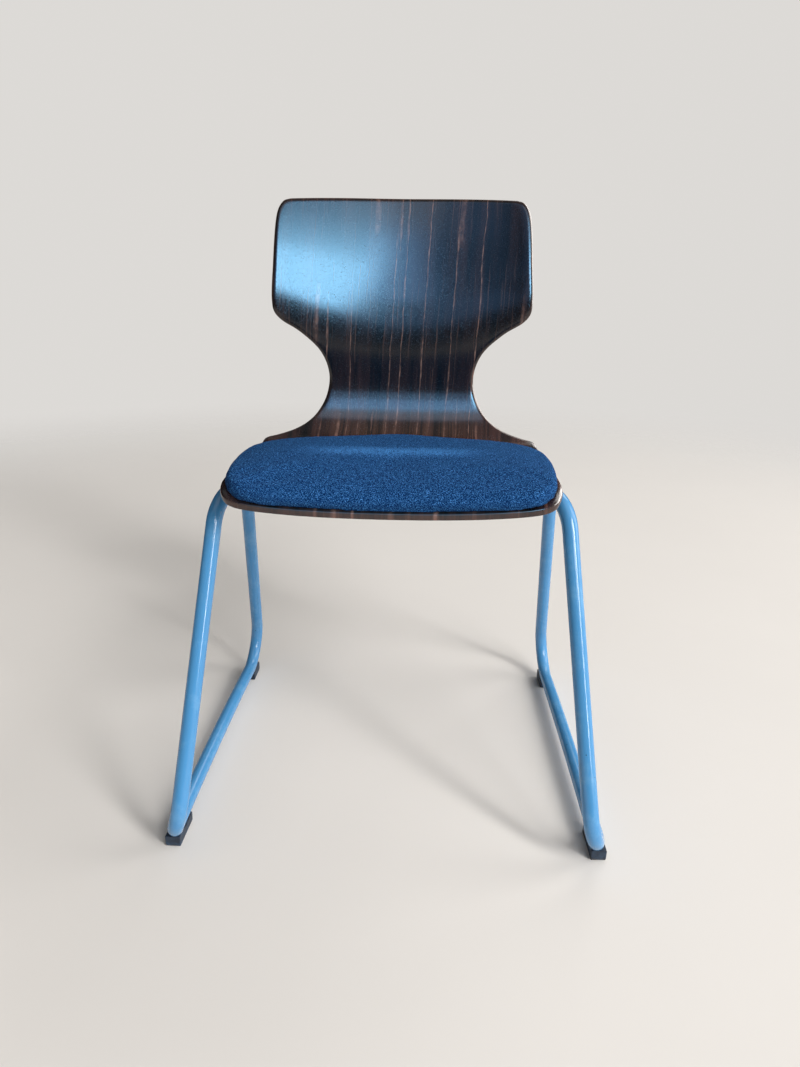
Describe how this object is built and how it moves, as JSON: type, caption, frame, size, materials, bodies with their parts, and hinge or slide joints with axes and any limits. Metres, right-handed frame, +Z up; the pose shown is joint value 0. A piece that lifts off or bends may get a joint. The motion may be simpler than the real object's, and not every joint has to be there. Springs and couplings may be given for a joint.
{
  "type": "conference chair",
  "caption": "Armless conference chair: moulded dark plywood shell with a narrow waist and an upholstered blue seat pad, on a bent steel tube skid frame with plastic glides.",
  "frame": {"origin": "floor under the middle of the chair's bounding box", "axes": "+Z up from the floor, the sitter faces -Y, +X is to the right for a viewer in front of the chair"},
  "size_m": [0.5592, 0.5307, 0.8058],
  "materials": {
    "dark_plywood": "satin",
    "blue_fabric": "matte",
    "pad_foam": "matte",
    "carrier_board": "matte",
    "grey_blue_paint": "gloss",
    "black_plastic": "matte",
    "zinc_steel": "satin"
  },
  "bodies": {
    "root": {"seat_shell": "dark_plywood", "pad_cover": "blue_fabric", "pad_foam": "pad_foam", "pad_board": "carrier_board", "left_skid_tube": "grey_blue_paint", "right_skid_tube": "grey_blue_paint", "left_rail_end_plug": "black_plastic", "right_rail_end_plug": "black_plastic", "mount_plate_front_left": "grey_blue_paint", "shell_bolt_front_left": "zinc_steel", "washer_front_left": "zinc_steel", "lock_nut_front_left": "zinc_steel", "pad_screw_front_left": "zinc_steel", "glide_front_left": "black_plastic", "mount_plate_front_right": "grey_blue_paint", "shell_bolt_front_right": "zinc_steel", "washer_front_right": "zinc_steel", "lock_nut_front_right": "zinc_steel", "pad_screw_front_right": "zinc_steel", "glide_front_right": "black_plastic", "mount_plate_rear_left": "grey_blue_paint", "shell_bolt_rear_left": "zinc_steel", "washer_rear_left": "zinc_steel", "lock_nut_rear_left": "zinc_steel", "pad_screw_rear_left": "zinc_steel", "glide_rear_left": "black_plastic", "mount_plate_rear_right": "grey_blue_paint", "shell_bolt_rear_right": "zinc_steel", "washer_rear_right": "zinc_steel", "lock_nut_rear_right": "zinc_steel", "pad_screw_rear_right": "zinc_steel", "glide_rear_right": "black_plastic"}
  },
  "joints": []
}
